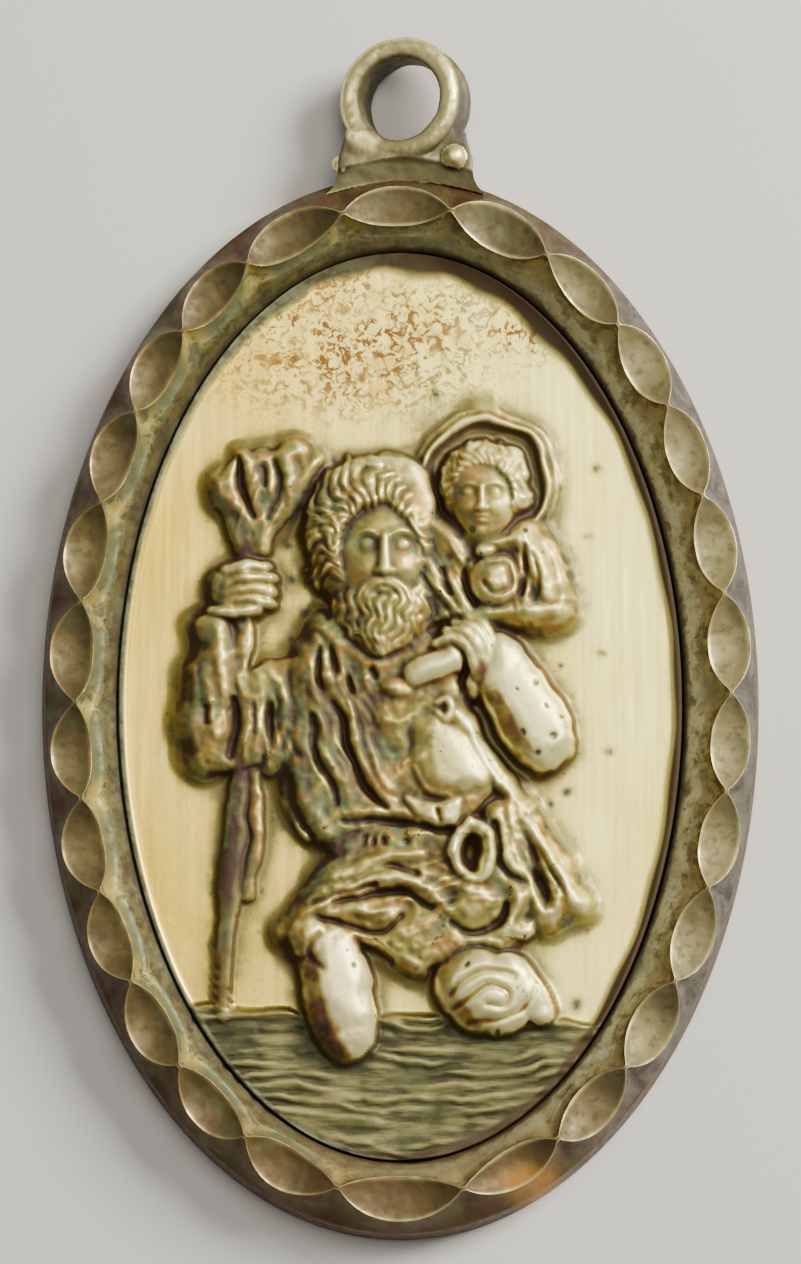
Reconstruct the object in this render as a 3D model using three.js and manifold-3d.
// An oval religious medal pendant: a cast frame with a soldered loop, and a struck relief plaque in it.
// Millimetres. The medal lies on its back: +Z is the front, +Y the loop's end, +X to the right.
// The origin is the middle of the oval's flat back.

import { BufferAttribute, BufferGeometry, ExtrudeGeometry, Group, LatheGeometry, Mesh } from "three";
import { MeshStandardMaterial, Shape, SphereGeometry, Vector2 } from "three";
import { mergeVertices } from "three/addons/utils/BufferGeometryUtils.js";
import Module from "manifold-3d";

// Frame
const bodyWidth = 25.4;
const bodyHeight = 38;
const sideWidth = 2.63;
const endWidth = 2.7;
const openingShift = -0.1;
const wallHeight = 1.35;
const wallDraft = 0.12;
const ridgeHeight = 2.6;
const lipHeight = 1.2;
const facetCount = 26;
const facetDrop = 0.5;
const facetHollow = 0.14;
const scallopDepth = 0.16;

// Seat and plaque
const seatHeight = 0.7;
const seatReach = 0.55;
const seamGap = 0.1;
const fieldHeight = 1.0;
const coveWidth = 0.5;
const coveRise = 0.18;
const reliefHeight = 1.75;

// Loop, its foot and the two granules
const loopOuterDiameter = 4.5;
const loopHoleDiameter = 3.0;
const loopLength = 2.0;
const loopTwist = 17;
const loopLift = 1.5;
const loopShift = 0.18;
const loopGap = 0.28;
const ribRadius = 0.34;
const waistDepth = 0.2;
const footWidth = 4.8;
const footFlare = 0.35;
const footLength = 1.45;
const footBite = 0.5;
const granuleDiameter = 0.85;

// The relief's drawing grid: the field's half width and half height in steps, and the relief's height
// in height steps. The relief's tables are in these steps, so they follow the sizes above.
const stepsAcross = 71;
const stepsUp = 113.5;
const stepsHigh = 13.5;

const halfWidth = bodyWidth / 2;
const halfHeight = bodyHeight / 2;
const openingHalfWidth = halfWidth - sideWidth;
const openingHalfHeight = halfHeight - endWidth;
const loopCentreY = halfHeight + loopGap + loopOuterDiameter / 2;
const toRadians = Math.PI / 180;

const silver = { color: 0x8d8878, roughness: 0.42, metalness: 1 };
const paleSilver = { color: 0xb9b091, roughness: 0.36, metalness: 1 };

// Frame sections. Along: share of the frame's width, from the outer edge to the opening. The ridge that
// carries the facets lies further in at the oval's two ends.
const ridgeSideAlong = 0.385;
const ridgeEndAlong = 0.5;
const facetHalfAlong = 0.28;
const tipHalfAlong = 0.045;
const edgeCurve = 1.3;
const scallopShare = 0.42;

// Where the facets' centres drift from even spacing. Round: share of the way round, clockwise from the
// top. Drift: in facets.
const facetDrift = [
  { round: 0, drift: -0.03 },
  { round: 0.08, drift: 0.14 },
  { round: 0.16, drift: 0.02 },
  { round: 0.26, drift: -0.04 },
  { round: 0.36, drift: -0.15 },
  { round: 0.46, drift: -0.22 },
  { round: 0.54, drift: 0.23 },
  { round: 0.64, drift: 0.12 },
  { round: 0.74, drift: 0 },
  { round: 0.84, drift: -0.04 },
  { round: 0.94, drift: -0.22 },
  { round: 1.0, drift: -0.03 },
];
const stationsPerFacet = 6;

// The loop's ribs and sides, and the foot's shoulders as a share of the loop's radius.
const ribAngles = [0, 45, 90];
const loopSides = 28;
const footShoulder = 0.94;
const flareSteps = 6;

// Granules beside the loop, in shares of the granule's diameter and of the foot's half length.
const granules = [
  { side: -1, tuck: 0.3, rise: 0.05, lift: 0.1, size: 0.75 },
  { side: 1, tuck: 0.78, rise: 0.2, lift: 0.92, size: 1 },
];
const granuleSides = 12;
const granuleRings = 8;

// Broad masses of the relief, cushions with a rounded edge. Outline columns: x, y.
const masses = [
  { form: "mantle", crest: 4.6, edge: 4, outline: [
    [-28, 10], [-21, 18], [-14, 23], [-2, 22], [8, 17], [14, 8], [15, 0], [18, -8], [23, -17], [22, -25],
    [15, -31], [0, -31], [-14, -33], [-24, -34], [-28, -24], [-27, -10], [-28, 2]] },
  { form: "skirt", crest: 4.2, edge: 4, outline: [
    [-27, -57], [-22, -46], [-16, -38], [-14, -32], [0, -30], [16, -30], [26, -30], [34, -36], [32, -48],
    [28, -58], [18, -62], [8, -66], [0, -64], [-8, -61], [-18, -58]] },
  { form: "child's body", crest: 5.6, edge: 4, outline: [
    [5, 42], [14, 46], [28, 44], [35, 41], [38, 33], [40, 22], [32, 19], [22, 19], [14, 21], [7, 21]] },
  { form: "hanging sleeve", crest: 3.6, edge: 4, outline: [
    [-50, 16], [-44, 17], [-40, 8], [-34, 9], [-27, 10], [-25, -2], [-27, -14], [-36, -16], [-44, -18],
    [-50, -17], [-53, -8], [-53, 6]] },
  { form: "full sleeve", crest: 8.6, edge: 9, outline: [
    [26, 17], [32, 11], [37, 5], [41, 0], [43, -7], [42, -14], [36, -17.5], [29, -14], [24, -7], [20, 0],
    [18, 5], [20, 12]] },
  { form: "right of the chest", crest: 8.6, edge: 6, outline: [
    [9, -5], [14, -4], [18, -9], [21, -15], [22.5, -20], [18, -23], [11, -23.5], [7, -20], [8, -12]] },
  { form: "middle of the chest", crest: 6.2, edge: 4, outline: [
    [-5, -4], [1, -3], [7, -7], [7, -18], [3, -24], [-2, -22], [-7, -13], [-8, -7]] },
  { form: "turned hem", crest: 8.4, edge: 2, outline: [
    [1, -24], [8, -25], [15, -24], [15, -28], [13, -31], [8, -31], [3, -28]] },
  { form: "belt", crest: 4.8, edge: 3, outline: [
    [-19, -31], [-8, -29.5], [4, -31], [12, -33], [12, -38], [0, -39], [-12, -40], [-18, -38]] },
  { form: "staff head", crest: 3.4, edge: 3, outline: [
    [-42, 37], [-44.5, 45], [-47, 53], [-44, 58.5], [-39.5, 62.5], [-33, 63.5], [-26, 63.5], [-23, 58],
    [-28, 53], [-32, 46], [-34, 37]] },
  { form: "middle of the skirt", crest: 6.6, edge: 6, outline: [
    [-3, -57], [0, -51], [6, -50], [12, -54], [14, -60], [9, -65.5], [2, -64]] },
  { form: "hair", crest: 9.6, edge: 5, outline: [
    [-17, 26], [-19.6, 33], [-23, 39], [-24.4, 45], [-21.5, 51], [-16, 55.4], [-9, 59.6], [-2, 61.6],
    [4, 60.6], [8, 54], [8.6, 46], [6.6, 38], [5, 30], [-6, 24]] },
  { form: "beard", crest: 10.6, edge: 5, outline: [
    [-16, 30], [-16.4, 23], [-12.4, 16.6], [-7, 12.6], [-2, 11.4], [3, 14], [5.8, 21], [6, 30], [-5, 33]] },
];

// Rounded knobs. Columns: x, y, half width, half height, turn, crest, roundness.
const knobs = [
  [20.5, 53, 10.6, 11.6, 0, 10.2, 0.6],
  [22.5, 30.5, 6.4, 6.4, 0, 9.6, 0.6],
  [21.5, 37.8, 2.6, 2.2, 0, 9.4, 0.8],
  [-42, 27.5, 5.2, 6, 20, 7.6, 0.4],
  [-23, -59, 5.6, 5.4, 0, 9.4, 0.8],
  [21, -72, 13.4, 10.6, -18, 10.6, 0.75],
  [18, -50, 6, 5.4, 0, 7.6, 0.6],
  [31, -56, 3.2, 3, 0, 6.2, 0.8],
  [-0.5, 3.4, 4.2, 2.6, -8, 8.2, 0.8],
  [-48.5, 18, 3.6, 3.8, 0, 6.6, 0.6],
];

// Cords, round in section: staff, limbs, fingers and the girdle. Path columns: x, y, half width, crest.
const cords = [
  { form: "staff below the hand", round: 0.6, path: [
    [-39.5, 36, 2.2, 4.2], [-40, 16, 2, 4.6], [-39, 0, 2, 4.8], [-40, -16, 2, 4.6]] },
  { form: "staff blade", round: 0.5, path: [
    [-40, -18, 2, 4.2], [-42.3, -40, 3, 3.6], [-43, -51, 2.9, 3.6]] },
  { form: "staff foot", round: 0.5, path: [
    [-43.2, -53, 2.2, 3.4], [-44.6, -68, 1.8, 3.2], [-45, -78, 1.6, 3]] },
  { form: "band beside the blade", round: 0.5, path: [
    [-36.8, -18, 1.5, 3.6], [-36.4, -30, 1.7, 3.2], [-38.4, -48, 1.5, 2.6]] },
  { form: "child's leg", round: 0.9, path: [[3.6, 6.6, 3, 9], [8, 8.8, 3.5, 9.6], [13, 11, 3.6, 9.4]] },
  { form: "fingers round the leg", round: 0.8, path: [
    [9.5, 14.5, 1.1, 8.6], [14, 15.4, 1.4, 9.8], [18, 11.6, 1.4, 9.6], [19.4, 6, 1.4, 8.2]] },
  { form: "fingers round the leg", round: 0.8, path: [
    [14, 19.4, 1.2, 8], [19, 18, 1.4, 9.2], [22, 13.6, 1.4, 9], [21.8, 8, 1.2, 7.8]] },
  { form: "wrist", round: 0.8, path: [[20, 8, 2.4, 7.2], [17.6, 3, 2.6, 6.8], [16, 0, 2.2, 5.6]] },
  { form: "forefinger on the staff", round: 0.9, path: [
    [-43.6, 33, 1.6, 7.6], [-39, 34, 1.6, 8.6], [-34.6, 33.8, 1.5, 7.8]] },
  { form: "middle finger", round: 0.9, path: [
    [-43, 29, 1.8, 7.8], [-38, 30, 1.8, 8.8], [-33.6, 29.2, 1.6, 7.4]] },
  { form: "little finger", round: 0.9, path: [
    [-43, 25, 1.7, 7.4], [-38.4, 25.6, 1.7, 8.2], [-34, 24.8, 1.5, 7]] },
  { form: "thumb", round: 0.9, path: [
    [-47, 22.4, 1.6, 7.2], [-42, 21.8, 1.5, 7.8], [-36.6, 22.4, 1.3, 7]] },
  { form: "knotted girdle", round: 0.9, path: [
    [18, -31.4, 1.9, 8.2], [22, -34, 2, 8.8], [22.4, -39.6, 1.9, 8.6], [19, -44, 1.8, 8.4],
    [15, -42.6, 1.8, 8.4], [13.4, -38, 1.9, 8.6], [14.6, -33.4, 1.9, 8.4], [18, -31.4, 1.9, 8.2]] },
  { form: "standing shin", round: 0.85, path: [
    [-17.6, -62.6, 7.6, 8.8], [-15.4, -70, 8, 9.4], [-13.6, -78, 7.8, 9], [-11.6, -86, 5.6, 7.4]] },
  { form: "bent calf", round: 0.85, path: [[27, -68, 5.6, 9.4], [34, -74, 6, 8.6], [40, -77, 3.2, 5.4]] },
];

// Folds, bell-shaped in section. Path columns: x, y, half width, crest.
const folds = [
  { cloth: "staff leaves", path: [[-36.5, 42, 1.2, 3.6], [-43, 50, 1.8, 5], [-45.2, 55.5, 1.6, 4.6]] },
  { cloth: "staff leaves", path: [[-36, 45, 1, 4.4], [-36.5, 54, 1.7, 5.6], [-39, 61.5, 1.3, 4.8]] },
  { cloth: "staff leaves", path: [
    [-33, 45, 0.9, 4], [-28, 54, 1.3, 5], [-29, 61, 1.3, 5.2], [-26, 63, 1.2, 5.4]] },
  { cloth: "forearm", path: [
    [-48.6, -13, 4.2, 6.4], [-48.2, 0, 4.6, 7.2], [-47.2, 9, 4.2, 7], [-47.4, 18, 3.6, 6.6]] },
  { cloth: "forearm", path: [
    [-46.5, 17, 1.6, 7.6], [-45, 8, 1.9, 8.2], [-45.5, 0, 1.5, 7.2], [-47, -8, 1.3, 6.8]] },
  { cloth: "hanging sleeve", path: [[-40, 6, 1.2, 5.2], [-39, -4, 1.4, 6.2], [-38.4, -14, 1.2, 5.8]] },
  { cloth: "hanging sleeve", path: [[-36.5, 4, 1.2, 5.6], [-35.4, -5, 1.5, 6.6], [-36.5, -13, 1.2, 5.6]] },
  { cloth: "hanging sleeve", path: [
    [-32, 7, 1.6, 5.6], [-29, 0, 1.5, 6.6], [-28.8, -7, 1.3, 6.4], [-32.5, -13, 1.3, 5.6]] },
  { cloth: "collar", path: [
    [-20, 18.5, 1.9, 6.8], [-14, 13, 2.2, 7.2], [-6, 9.6, 2, 7], [2, 10.8, 1.8, 6.6], [8, 14, 1.5, 6.2]] },
  { cloth: "shoulder", path: [[-24, 12.5, 1.3, 6.4], [-22.5, 6, 1.3, 6.8], [-20.5, 0, 1.4, 6.8]] },
  { cloth: "shoulder", path: [[-21, 16, 1, 6.6], [-19, 9, 1.1, 7.2], [-17.5, 4, 1.2, 7.4]] },
  { cloth: "shoulder", path: [[-27, 8, 1.6, 5.4], [-26, 1, 1.6, 5.6], [-23.4, -5, 1.5, 5.8]] },
  { cloth: "mantle", path: [
    [-23, 4, 1.3, 6], [-21, -4, 1.7, 7], [-19.3, -11, 1.6, 7.2], [-16.5, -18, 1.7, 6.8],
    [-12.6, -26, 1.5, 6.6]] },
  { cloth: "mantle", path: [
    [-18, 6, 1.7, 7.6], [-15, 0, 2, 8], [-11.6, -8, 2, 8], [-9.6, -16, 1.9, 7.8], [-6, -22, 1.8, 7.6],
    [-2, -26.4, 1.6, 7.2]] },
  { cloth: "mantle", path: [[-16.5, -8, 1.2, 6], [-14.4, -15, 1.3, 6], [-11, -22, 1.2, 6]] },
  { cloth: "mantle", path: [
    [-26.4, -15, 1.3, 6], [-25, -22, 1.8, 7], [-20.6, -28.5, 2, 7.4], [-18, -32.5, 1.4, 6.6]] },
  { cloth: "mantle edge", path: [
    [14, -3, 0.9, 7.2], [18, -9, 1, 6.8], [22, -16, 1, 6.2], [27, -23, 1.2, 5.4], [31, -27, 1.1, 4.6]] },
  { cloth: "hem", path: [
    [-15, -27.4, 1.2, 6.4], [-8, -27.6, 1.3, 6.6], [0, -27.6, 1.2, 6.8], [4, -29.8, 1.1, 7.2]] },
  { cloth: "child's mantle", path: [[7.6, 39, 2.2, 6.8], [8, 31, 2.4, 7.2], [8.6, 24, 2, 6.6]] },
  { cloth: "child's mantle", path: [[13, 43, 2.2, 7.2], [13.6, 34, 2.2, 7.4], [13, 26, 1.8, 6.8]] },
  { cloth: "child's sleeve", path: [[29, 41, 2.4, 8.2], [30.4, 34, 2.4, 8.2], [29.4, 28, 1.8, 7.8]] },
  { cloth: "child's sleeve", path: [[34, 40, 2.2, 7.6], [36, 32, 2, 7.8], [37, 25, 1.8, 6.8]] },
  { cloth: "child's hem", path: [[28.5, 23, 1.8, 6.6], [33, 22, 2.2, 7.2], [38.6, 22, 1.9, 6.6]] },
  { cloth: "skirt", path: [
    [-22, -49, 1.3, 5.8], [-16.5, -44, 2.3, 7.6], [-9, -41.6, 2, 7.4], [-3, -39, 1.2, 6.8],
    [5, -37.6, 1, 6.2]] },
  { cloth: "skirt", path: [
    [-28.6, -57, 1.2, 5.6], [-20, -51, 1.5, 7.2], [-10, -46.4, 1.6, 8], [0, -44.4, 1.5, 8.4],
    [8, -48, 1.5, 8], [13.4, -53, 1.2, 6.8]] },
  { cloth: "skirt", path: [
    [-19, -53.6, 1, 6.2], [-12, -52.4, 2, 7.2], [-5, -52.4, 2, 7.4], [-1.4, -54, 1.4, 6.8]] },
  { cloth: "skirt", path: [[-8, -58, 1, 5.4], [-2, -62, 1.2, 5.8], [4, -65, 1.2, 5.8]] },
  { cloth: "girdle end", path: [[24.6, -28, 1.4, 6.6], [25.4, -35, 1.5, 7.4], [28.6, -43.5, 1.4, 7]] },
  { cloth: "girdle end", path: [
    [30, -27.4, 1.3, 5.2], [35, -35, 1.5, 6.4], [40, -43, 1.5, 6.8], [43.4, -50.6, 1.6, 6.6]] },
  { cloth: "girdle end", path: [
    [31, -32, 1, 5.2], [31.6, -45, 1, 5.8], [34.6, -52, 1.2, 6.4], [39.4, -49.4, 1.2, 6.8]] },
  { cloth: "folds over the knee", path: [
    [28, -45.6, 1.4, 7], [29.4, -51, 1.6, 7.6], [26.4, -57.4, 1.4, 7.2]] },
];

// Grooves, soft in section. Path columns: x, y, half width, height added.
const grooves = [
  { between: "staff leaves", path: [
    [-40.6, 61, 1.2, -1.4], [-40.2, 55, 1.6, -2.2], [-37.6, 46, 1, -1.2]] },
  { between: "forearm and sleeve", path: [
    [-42.8, 1, 1.2, -2], [-41.8, -5, 1.6, -3], [-42.6, -13, 1.4, -2.2]] },
  { between: "sleeve folds", path: [
    [-33.2, -1, 1.2, -1.6], [-32.4, -5, 1.4, -2.4], [-32.8, -9, 1.2, -2]] },
  { between: "mantle folds", path: [
    [-22.6, -4, 1.2, -1.4], [-22, -10, 1.3, -2], [-20, -17, 1.2, -1.8], [-16, -25, 1.2, -1.6]] },
  { between: "mantle folds", path: [
    [-14.4, -6, 1.3, -2.2], [-12.4, -13, 1.4, -2.6], [-9.6, -21, 1.4, -2.4], [-4, -27, 1.2, -1.6]] },
  { between: "mantle and arm", path: [
    [14.6, 5, 1.2, -1.6], [18, -2, 1.8, -2.6], [24, -10, 2, -2.6], [32, -17, 1.7, -1.6]] },
  { between: "hem and belt", path: [
    [-14, -29.6, 1.3, -1.6], [0, -30.4, 1.3, -2], [12, -32.2, 1.3, -1.6]] },
  { between: "skirt folds", path: [
    [-17, -50.4, 1.2, -1.2], [-8, -49.4, 1.3, -1.8], [0, -48, 1.3, -2], [8, -51.6, 1.2, -1.6]] },
  { between: "girdle ends", path: [[24, -31, 1.2, -1.8], [24.4, -37, 1.2, -2.2], [27, -43, 1.2, -1.8]] },
  { between: "folds over the knee", path: [
    [26, -50, 1.2, -2.4], [25, -55, 1.6, -3], [19, -57.6, 1.3, -2.4]] },
];

// Hollows. Columns: x, y, half width, half height, turn, height added.
const hollows = [
  [18, -38, 2.4, 4.4, 4, -5],
  [35.4, -45.4, 2, 5.4, 24, -2.2],
];

// Halo, a dish with a raised rim: its centre, rim radius, rim height and the width of its outer slope.
const halo = { x: 21.5, y: 55.5, radius: 16, rim: 3.6, floor: 0.7, slope: 4.2 };

// Water: where its edge lies, how high its level and its waves stand, and how far apart they run.
const water = { edge: -77, tilt: 1.6, level: 1.5, wave: 1.3, spacing: 7.4, sway: 2.2, swayRate: 0.085 };

// Faces: centre line, line of the eyes, half width, unit of the usual proportions, and crest.
const faces = [
  { head: "bearded", x: -5.4, y: 39, halfWidth: 11, shift: 2, unit: 1, crest: 11 },
  { head: "child", x: 20.5, y: 51, halfWidth: 7.6, shift: -0.6, unit: 0.53, crest: 11 },
];

// The usual proportions of a face, in units of a twentieth of half the head. Columns: x as a share of
// the half width, y from the line of the eyes, half width, half height, height added.
const faceOval = { y: -1.5, height: 18.4, round: 0.5 };
const faceForms = [
  { form: "eye socket", side: 0.42, y: 0.6, width: 3.2, height: 2.4, add: -1.6 },
  { form: "brow", side: 0.4, y: 4.2, width: 3.4, height: 1.4, add: 0.8 },
  { form: "cheek", side: 0.46, y: -7.5, width: 3.2, height: 3.6, add: 0.8 },
  { form: "nose", side: 0, y: -4, width: 1.7, height: 5, add: 1.8 },
  { form: "nose tip", side: 0, y: -7.4, width: 2, height: 1.8, add: 1 },
  { form: "lips", side: 0, y: -12, width: 3.6, height: 2.4, add: 0.9 },
  { form: "chin", side: 0, y: -17.4, width: 3.4, height: 2.2, add: 0.8 },
];

// Locks of hair in a ring round each head. Angles in degrees; size in steps.
const lockRings = [
  { head: "bearded", x: -7.2, y: 44, acrossRadius: 13.4, upRadius: 14.4,
    from: 205, to: -10, count: 9, size: 2.4 },
  { head: "child", x: 20.5, y: 54.5, acrossRadius: 8.8, upRadius: 8.6,
    from: 190, to: -10, count: 7, size: 1.9 },
];
const lockRise = 1.1;

// Grooves between the beard's locks, from the jaw to the beard's tip.
const beardLocks = { count: 5, x: -13, spread: 16, topY: 27, bow: 8, tipX: -8, tipSpread: 8, tipY: 14 };
const beardGroove = { width: 1.1, depth: -1.2 };

// Grid of the plaque's top. Bands of columns and rows, each from one step to the next in equal cells.
const columnBands = [
  { from: -stepsAcross, to: -54, cells: 2 },
  { from: -54, to: 46, cells: 38 },
  { from: 46, to: stepsAcross, cells: 3 },
];
const rowBands = [
  { from: stepsUp, to: 76, cells: 6 },
  { from: 76, to: 10, cells: 29 },
  { from: 10, to: -35, cells: 18 },
  { from: -35, to: -92, cells: 21 },
  { from: -92, to: -stepsUp, cells: 5 },
];

// How the sections of cords, folds and cushions are shaped.
const flankSlope = 3.4;
const foldDrop = 1.9;
const foldSpread = 0.8;
const foldFootSlope = 1.6;
const foldFootAt = 1.7;
const grooveSharpness = 1.4;
const cushionRound = 0.7;
const joinBlend = 0.9;
const belowAll = -50;
const curveSteps = 5;
const reach = 2.3;

const wasm = await Module();
wasm.setup();

const clamp = (value, low, high) => Math.min(Math.max(value, low), high);
const mix = (a, b, share) => a + (b - a) * share;

function makeGeometry(positions, triangles) {
  const geometry = new BufferGeometry();
  geometry.setAttribute("position", new BufferAttribute(new Float32Array(positions), 3));
  geometry.setIndex(triangles);
  return geometry;
}

function toSolid(geometry) {
  const bare = geometry.clone();
  bare.deleteAttribute("normal");
  bare.deleteAttribute("uv");
  const merged = mergeVertices(bare, 1e-5);
  const vertProperties = new Float32Array(merged.attributes.position.array);
  const triVerts = new Uint32Array(merged.index.array);
  return new wasm.Manifold(new wasm.Mesh({ numProp: 3, vertProperties, triVerts }));
}

function toGeometry(solid) {
  const mesh = solid.getMesh();
  return makeGeometry(mesh.vertProperties, [...mesh.triVerts]);
}

// Rings of points, joined one to the next into a closed band of quads.
function bandTriangles(rings, perRing, triangles) {
  for (let i = 0; i < rings; i += 1) {
    const next = (i + 1) % rings;
    for (let j = 0; j < perRing; j += 1) {
      const a = i * perRing + j;
      const b = i * perRing + ((j + 1) % perRing);
      const c = next * perRing + ((j + 1) % perRing);
      const d = next * perRing + j;
      triangles.push(a, b, c, a, c, d);
    }
  }
  return triangles;
}

// A smooth curve through rows of numbers, all columns alike.
function smoothRows(rows, closed) {
  const count = rows.length;
  const at = (i) => {
    if (closed) return rows[(i + count) % count];
    if (i < 0) return rows[0].map((value, k) => 2 * value - rows[1][k]);
    if (i >= count) return rows[count - 1].map((value, k) => 2 * value - rows[count - 2][k]);
    return rows[i];
  };
  const result = [];
  const spans = closed ? count : count - 1;
  for (let i = 0; i < spans; i += 1) {
    const [a, b, c, d] = [at(i - 1), at(i), at(i + 1), at(i + 2)];
    for (let k = 0; k < curveSteps; k += 1) {
      const t = k / curveSteps;
      result.push(b.map((value, n) => 0.5 * (2 * value + (c[n] - a[n]) * t
        + (2 * a[n] - 5 * value + 4 * c[n] - d[n]) * t * t
        + (3 * value - a[n] - 3 * c[n] + d[n]) * t * t * t)));
    }
  }
  if (!closed) result.push(rows[count - 1]);
  return result;
}

// The nearest place on a path, judged in half widths.
function nearestOnPath(path, x, y) {
  let best = { widths: Infinity, distance: 0, half: 1, value: 0 };
  for (let i = 0; i + 1 < path.length; i += 1) {
    const [ax, ay, aHalf, aValue] = path[i];
    const [bx, by, bHalf, bValue] = path[i + 1];
    const dx = bx - ax;
    const dy = by - ay;
    const along = clamp(((x - ax) * dx + (y - ay) * dy) / (dx * dx + dy * dy), 0, 1);
    const distance = Math.hypot(x - ax - along * dx, y - ay - along * dy);
    const half = mix(aHalf, bHalf, along);
    if (distance / half < best.widths) {
      best = { widths: distance / half, distance, half, value: mix(aValue, bValue, along) };
    }
  }
  return best;
}

function boundsOf(points, margin) {
  const xs = points.map((point) => point[0]);
  const ys = points.map((point) => point[1]);
  return {
    left: Math.min(...xs) - margin,
    right: Math.max(...xs) + margin,
    bottom: Math.min(...ys) - margin,
    top: Math.max(...ys) + margin,
  };
}

const isInside = (box, x, y) => x > box.left && x < box.right && y > box.bottom && y < box.top;

// A form that stands on its own height: it takes over where it is the higher.
function risingForm(box, heightAt, blend) {
  return (x, y, ground) => {
    if (!isInside(box, x, y)) return ground;
    const top = heightAt(x, y);
    const share = clamp(0.5 + (0.5 * (top - ground)) / blend, 0, 1);
    return mix(ground, top, share) + blend * share * (1 - share);
  };
}

// A form that adds to what lies under it, or sinks into it.
function addedForm(box, addAt) {
  return (x, y, ground) => (isInside(box, x, y) ? ground + addAt(x, y) : ground);
}

function cordForm({ round, path }) {
  const rows = smoothRows(path, false);
  const box = boundsOf(rows, stepsHigh / flankSlope + Math.max(...rows.map((row) => row[2])));
  return risingForm(box, (x, y) => {
    const { widths, distance, half, value } = nearestOnPath(rows, x, y);
    const across = Math.min(widths, 1);
    const section = value - round * half * (1 - Math.sqrt(1 - across * across));
    return section - flankSlope * Math.max(distance - half, 0);
  }, joinBlend);
}

function foldForm({ path }) {
  const rows = smoothRows(path, false);
  const box = boundsOf(rows, stepsHigh / foldFootSlope);
  return risingForm(box, (x, y) => {
    const { widths, distance, half, value } = nearestOnPath(rows, x, y);
    const drop = foldDrop * half * (1 - Math.exp(-foldSpread * widths * widths));
    return value - drop - foldFootSlope * Math.max(distance - foldFootAt * half, 0);
  }, joinBlend);
}

function grooveForm({ path }) {
  const rows = smoothRows(path, false);
  const box = boundsOf(rows, reach * Math.max(...rows.map((row) => row[2])));
  return addedForm(box, (x, y) => {
    const { widths, value } = nearestOnPath(rows, x, y);
    return value * Math.exp(-grooveSharpness * widths * widths);
  });
}

// Distances from an oval's centre in its own half widths.
function ovalDistance(x, y, centreX, centreY, halfX, halfY, turn) {
  const angle = turn * toRadians;
  const dx = x - centreX;
  const dy = y - centreY;
  const across = (dx * Math.cos(angle) + dy * Math.sin(angle)) / halfX;
  const up = (dy * Math.cos(angle) - dx * Math.sin(angle)) / halfY;
  return Math.hypot(across, up);
}

function knobForm([centreX, centreY, halfX, halfY, turn, crest, round]) {
  const size = Math.min(halfX, halfY);
  const box = boundsOf([[centreX, centreY]], Math.max(halfX, halfY) + stepsHigh / flankSlope);
  return risingForm(box, (x, y) => {
    const out = ovalDistance(x, y, centreX, centreY, halfX, halfY, turn);
    const across = Math.min(out, 1);
    const section = crest - round * size * (1 - Math.sqrt(1 - across * across));
    return section - flankSlope * size * Math.max(out - 1, 0);
  }, joinBlend);
}

function hollowForm([centreX, centreY, halfX, halfY, turn, add]) {
  const box = boundsOf([[centreX, centreY]], reach * Math.max(halfX, halfY));
  return addedForm(box, (x, y) => {
    const out = ovalDistance(x, y, centreX, centreY, halfX, halfY, turn);
    return add * Math.exp(-out * out);
  });
}

// A cushion: flat on top, rounded for the width of its edge, steep outside its outline.
function massForm({ crest, edge, outline }) {
  const points = smoothRows(outline, true);
  const box = boundsOf(points, stepsHigh / flankSlope);
  return risingForm(box, (x, y) => {
    let distance = Infinity;
    let inside = false;
    points.forEach(([ax, ay], i) => {
      const [bx, by] = points[(i + 1) % points.length];
      const dx = bx - ax;
      const dy = by - ay;
      const along = clamp(((x - ax) * dx + (y - ay) * dy) / (dx * dx + dy * dy), 0, 1);
      distance = Math.min(distance, Math.hypot(x - ax - along * dx, y - ay - along * dy));
      if (ay > y !== by > y && x < ax + ((y - ay) / dy) * dx) inside = !inside;
    });
    if (!inside) return crest - cushionRound * edge - flankSlope * distance;
    const in01 = clamp(1 - distance / edge, 0, 1);
    return crest - cushionRound * edge * (1 - Math.sqrt(1 - in01 * in01));
  }, joinBlend);
}

function haloForm() {
  const box = boundsOf([[halo.x, halo.y]], halo.radius + halo.slope);
  return risingForm(box, (x, y) => {
    const out = Math.hypot(x - halo.x, y - halo.y) / halo.radius;
    if (out < 1) return mix(halo.floor, halo.rim, out * out * out);
    return halo.rim * (1 - ((out - 1) * halo.radius) / halo.slope);
  }, joinBlend / 3);
}

function waterForm() {
  const box = { left: -stepsAcross - 1, right: stepsAcross + 1, bottom: -stepsUp - 1, top: 0 };
  return risingForm(box, (x, y) => {
    const edge = water.edge - water.tilt * clamp(x / (stepsAcross / 2), -1, 1);
    if (y > edge) return belowAll;
    const phase = (y + water.sway * Math.sin(x * water.swayRate)) / water.spacing;
    const ridge = 1 - Math.abs((phase - Math.floor(phase)) * 2 - 1);
    return (water.level + water.wave * ridge) * clamp((edge - y) / 2, 0, 1);
  }, joinBlend / 3);
}

function faceFormsOf(face) {
  const oval = [face.x, face.y + faceOval.y * face.unit, face.halfWidth, faceOval.height * face.unit, 0,
    face.crest - face.unit, faceOval.round];
  const added = faceForms.flatMap((row) => {
    const sides = row.side ? [-row.side, row.side] : [0];
    return sides.map((side) => hollowForm([
      face.x + face.shift + side * face.halfWidth,
      face.y + row.y * face.unit,
      row.width * face.unit,
      row.height * face.unit,
      0,
      row.add * face.unit,
    ]));
  });
  return [knobForm(oval), ...added];
}

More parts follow.
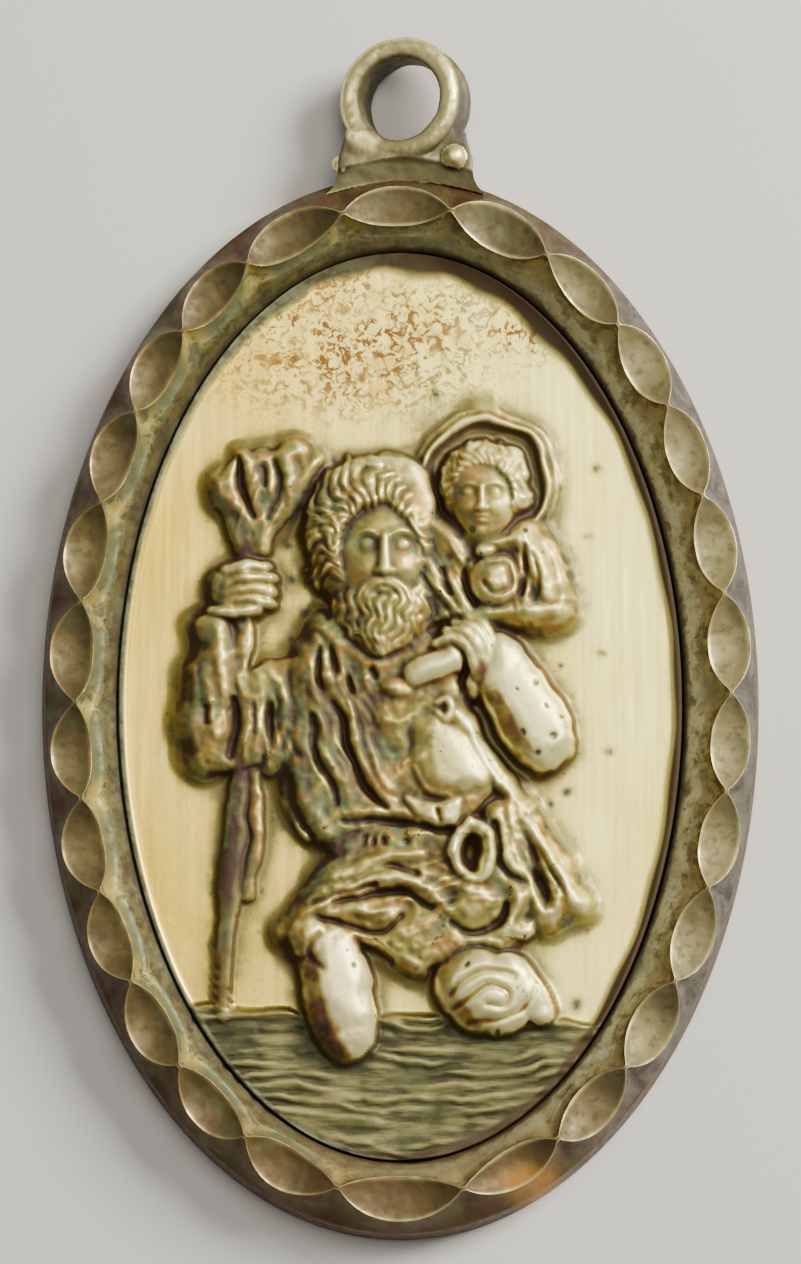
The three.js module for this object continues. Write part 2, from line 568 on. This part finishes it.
function lockForms(ring) {
  return Array.from({ length: ring.count }, (_, i) => {
    const angle = mix(ring.from, ring.to, i / (ring.count - 1)) * toRadians;
    return hollowForm([
      ring.x + ring.acrossRadius * Math.cos(angle),
      ring.y + ring.upRadius * Math.sin(angle),
      ring.size,
      ring.size,
      0,
      lockRise,
    ]);
  });
}

function beardForms() {
  return Array.from({ length: beardLocks.count }, (_, i) => {
    const share = i / (beardLocks.count - 1);
    const bow = beardLocks.bow * Math.sin(Math.PI * share);
    const top = [beardLocks.x + beardLocks.spread * share, beardLocks.topY - bow];
    const tip = [beardLocks.tipX + beardLocks.tipSpread * share, beardLocks.tipY];
    return grooveForm({
      path: [
        [...top, beardGroove.width, beardGroove.depth],
        [mix(top[0], tip[0], 0.5), mix(top[1], tip[1], 0.5), beardGroove.width, beardGroove.depth],
        [...tip, beardGroove.width, 0],
      ],
    });
  });
}

const reliefForms = [
  waterForm(),
  haloForm(),
  ...masses.map(massForm),
  ...knobs.map(knobForm),
  ...cords.map(cordForm),
  ...folds.map(foldForm),
  ...grooves.map(grooveForm),
  ...hollows.map(hollowForm),
  ...faces.flatMap(faceFormsOf),
  ...lockRings.flatMap(lockForms),
  ...beardForms(),
];

const reliefStepsAt = (x, y) => reliefForms.reduce((ground, form) => form(x, y, ground), 0);

// The relief's height, evened out over a cell of the grid so that narrow folds keep clean edges.
function evenedHeight(x, y, spreadX, spreadY) {
  const offsets = [-1 / 3, 0, 1 / 3];
  let sum = 0;
  for (const dx of offsets) {
    for (const dy of offsets) {
      sum += reliefStepsAt(x + dx * spreadX, y + dy * spreadY);
    }
  }
  return (sum / offsets.length ** 2) * (reliefHeight / stepsHigh);
}

// Plaque

const topHalfWidth = openingHalfWidth - seamGap;
const topHalfHeight = openingHalfHeight - seamGap;

function bandStations(bands) {
  const stations = [bands[0].from];
  for (const { from, to, cells } of bands) {
    for (let i = 1; i <= cells; i += 1) {
      stations.push(mix(from, to, i / cells));
    }
  }
  return stations;
}

// How far the cove at the plaque's edge stands over the field.
function coveHeight(x, y) {
  const out = Math.hypot(x / topHalfWidth, y / topHalfHeight);
  const fromEdge = (1 - out) * topHalfWidth;
  return coveRise * clamp(1 - fromEdge / coveWidth, 0, 1) ** 2;
}

function plaqueGeometry() {
  const columns = bandStations(columnBands).map((x) => x / stepsAcross);
  const rows = bandStations(rowBands).map((y) => y / stepsUp);
  const positions = [];
  const triangles = [];
  const grid = rows.map((up, j) => {
    const isPole = j === 0 || j === rows.length - 1;
    const width = isPole ? 0 : Math.sqrt(1 - up * up);
    const rowColumns = isPole ? [0] : columns;
    return rowColumns.map((across, i) => {
      const x = across * width * topHalfWidth;
      const y = up * topHalfHeight;
      const isRim = isPole || i === 0 || i === columns.length - 1;
      const cellX = isRim ? 0 : ((columns[i + 1] - columns[i - 1]) / 2) * width * stepsAcross;
      const cellY = isRim ? 0 : ((rows[j - 1] - rows[j + 1]) / 2) * stepsUp;
      const inRelief = evenedHeight(across * width * stepsAcross, up * stepsUp, cellX, cellY);
      const raised = isRim ? coveRise : Math.max(inRelief, coveHeight(x, y));
      positions.push(x, y + openingShift, fieldHeight + raised);
      return positions.length / 3 - 1;
    });
  });
  for (let j = 0; j + 1 < grid.length; j += 1) {
    const upper = grid[j];
    const lower = grid[j + 1];
    for (let i = 0; i + 1 < columns.length; i += 1) {
      if (upper.length === 1) {
        triangles.push(upper[0], lower[i], lower[i + 1]);
      } else if (lower.length === 1) {
        triangles.push(upper[i], lower[0], upper[i + 1]);
      } else {
        triangles.push(upper[i], lower[i], lower[i + 1], upper[i], lower[i + 1], upper[i + 1]);
      }
    }
  }
  // The rim, anticlockwise from the top, then the wall, the seat's step and the flat back below it.
  const inner = grid.slice(1, -1);
  const rim = [grid[0][0], ...inner.map((row) => row[0]), grid[grid.length - 1][0],
    ...inner.map((row) => row[row.length - 1]).reverse()];
  const stepReach = seatReach - seamGap;
  const levels = [
    { z: seatHeight - seamGap, out: 0 },
    { z: seatHeight - seamGap, out: stepReach },
    { z: 0, out: stepReach },
  ];
  let previous = rim;
  for (const { z, out } of levels) {
    const ring = rim.map((index) => {
      const x = positions[index * 3] * (1 + out / topHalfWidth);
      const y = (positions[index * 3 + 1] - openingShift) * (1 + out / topHalfHeight);
      positions.push(x, y + openingShift, z);
      return positions.length / 3 - 1;
    });
    ring.forEach((index, i) => {
      const next = (i + 1) % ring.length;
      triangles.push(previous[i], index, ring[next], previous[i], ring[next], previous[next]);
    });
    previous = ring;
  }
  positions.push(0, openingShift, 0);
  const centre = positions.length / 3 - 1;
  previous.forEach((index, i) => {
    triangles.push(index, centre, previous[(i + 1) % previous.length]);
  });
  return makeGeometry(positions, triangles);
}

// Frame

// Angles clockwise from the top that lie at equal lengths along the oval's ridge.
function evenAngles(count) {
  const fine = 4000;
  const radiusX = halfWidth - sideWidth * ridgeSideAlong;
  const radiusY = halfHeight - endWidth * ridgeEndAlong;
  const lengths = [0];
  for (let i = 1; i <= fine; i += 1) {
    const angle = ((i - 0.5) / fine) * 2 * Math.PI;
    const step = (2 * Math.PI) / fine;
    const speed = Math.hypot(radiusX * Math.cos(angle), radiusY * Math.sin(angle));
    lengths.push(lengths[i - 1] + speed * step);
  }
  return Array.from({ length: count }, (_, k) => {
    const wanted = (k / count) * lengths[fine];
    const after = lengths.findIndex((length) => length >= wanted);
    return (after / fine) * 2 * Math.PI;
  });
}

function driftAt(round) {
  const after = Math.max(facetDrift.findIndex((row) => row.round >= round), 1);
  const [a, b] = [facetDrift[after - 1], facetDrift[after]];
  return mix(a.drift, b.drift, (round - a.round) / (b.round - a.round));
}

// The frame's section at one place. Tip runs from 0 at a facet's middle to 1 where two facets meet.
function frameSection(tip, angle) {
  const open = 1 - tip * tip;
  const ridge = mix(ridgeSideAlong, ridgeEndAlong, Math.cos(angle) ** 4);
  const half = mix(tipHalfAlong, facetHalfAlong, open);
  const edgeHeight = ridgeHeight - facetDrop * (half / facetHalfAlong) ** edgeCurve;
  const scallopAlong = mix(ridge + half, 1, scallopShare);
  const seatAlong = 1 - seatReach / sideWidth;
  return [
    { along: 0, z: 0, out: 0 },
    { along: 0, z: wallHeight, out: -wallDraft },
    { along: ridge - half, z: edgeHeight, out: 0 },
    { along: ridge, z: edgeHeight - facetHollow * open, out: 0 },
    { along: ridge + half, z: edgeHeight, out: 0 },
    { along: scallopAlong, z: mix(edgeHeight, lipHeight, scallopShare) - scallopDepth * tip, out: 0 },
    { along: 1, z: lipHeight, out: 0 },
    { along: 1, z: seatHeight, out: 0 },
    { along: seatAlong, z: seatHeight, out: 0 },
    { along: seatAlong, z: 0, out: 0 },
  ];
}

function frameGeometry() {
  const stations = facetCount * stationsPerFacet;
  const positions = [];
  let perRing = 0;
  evenAngles(stations).forEach((angle, k) => {
    const place = k / stationsPerFacet - driftAt(k / stations);
    const tip = Math.abs(place - Math.round(place)) * 2;
    const section = frameSection(tip, angle);
    perRing = section.length;
    for (const { along, z, out } of section) {
      const radiusX = halfWidth - sideWidth * along + out;
      const radiusY = halfHeight - endWidth * along + out;
      positions.push(radiusX * Math.sin(angle), radiusY * Math.cos(angle) + openingShift * along, z);
    }
  });
  return makeGeometry(positions, bandTriangles(stations, perRing, []));
}

// Turns what stands round Z to the loop's place and twist.
function placeAtLoop(geometry) {
  geometry.rotateX(90 * toRadians);
  geometry.rotateY(-loopTwist * toRadians);
  geometry.translate(loopShift, loopCentreY, loopLift);
  return geometry;
}

// A short tube round its own axis: two rounded ribs with a waist between them, and a plain hole.
function loopGeometry() {
  const outer = loopOuterDiameter / 2;
  const half = loopLength / 2;
  const frontRib = ribAngles.map((degrees) => new Vector2(
    outer - ribRadius + ribRadius * Math.cos(degrees * toRadians),
    half - ribRadius + ribRadius * Math.sin(degrees * toRadians),
  ));
  const rearRib = [...frontRib].reverse().map((point) => new Vector2(point.x, -point.y));
  const hole = loopHoleDiameter / 2;
  const profile = [
    new Vector2(hole, -half + ribRadius / 2),
    ...rearRib,
    new Vector2(outer - waistDepth, 0),
    ...frontRib,
    new Vector2(hole, half - ribRadius / 2),
  ];
  return placeAtLoop(new LatheGeometry([...profile, profile[0].clone()], loopSides));
}

// The foot: a block that flares from the loop's sides down to the frame's top.
function footGeometry() {
  const outline = new Shape();
  const half = footWidth / 2;
  const low = halfHeight - footBite;
  const high = loopCentreY - loopOuterDiameter / 4;
  const upperHalf = (loopOuterDiameter / 2) * footShoulder;
  outline.moveTo(-half - footFlare, low);
  outline.lineTo(half + footFlare, low);
  outline.quadraticCurveTo(half, halfHeight, half, halfHeight + loopGap);
  outline.lineTo(upperHalf, high);
  outline.lineTo(-upperHalf, high);
  outline.lineTo(-half, halfHeight + loopGap);
  outline.quadraticCurveTo(-half, halfHeight, -half - footFlare, low);
  const foot = new ExtrudeGeometry(outline, {
    depth: footLength,
    bevelEnabled: false,
    curveSegments: flareSteps,
  });
  foot.translate(loopShift, 0, loopLift - footLength / 2);
  return foot;
}

function granuleGeometry({ side, tuck, rise, lift, size }) {
  const radius = (granuleDiameter / 2) * size;
  const ball = new SphereGeometry(radius, granuleSides, granuleRings);
  const x = loopShift + side * (footWidth / 2 - granuleDiameter * tuck);
  ball.translate(x, halfHeight + loopGap + granuleDiameter * rise, loopLift + (footLength / 2) * lift);
  return ball;
}

// What is cleared out of the loop's hole once the foot and granules have joined it.
function loopHoleGeometry() {
  const radius = loopHoleDiameter / 2;
  return placeAtLoop(new LatheGeometry([
    new Vector2(0, -loopLength),
    new Vector2(radius, -loopLength),
    new Vector2(radius, loopLength),
    new Vector2(0, loopLength),
  ], loopSides));
}

function frameMesh() {
  const metal = [footGeometry(), ...granules.map(granuleGeometry)]
    .map(toSolid)
    .reduce((whole, solid) => whole.add(solid), toSolid(loopGeometry()))
    .subtract(toSolid(loopHoleGeometry()))
    .add(toSolid(frameGeometry()));
  const mesh = new Mesh(toGeometry(metal), new MeshStandardMaterial(silver));
  mesh.name = "frame";
  return mesh;
}

function plaqueMesh() {
  const mesh = new Mesh(plaqueGeometry(), new MeshStandardMaterial(paleSilver));
  mesh.name = "relief_plaque";
  return mesh;
}

const medal = new Group();
medal.add(frameMesh(), plaqueMesh());

export default medal;
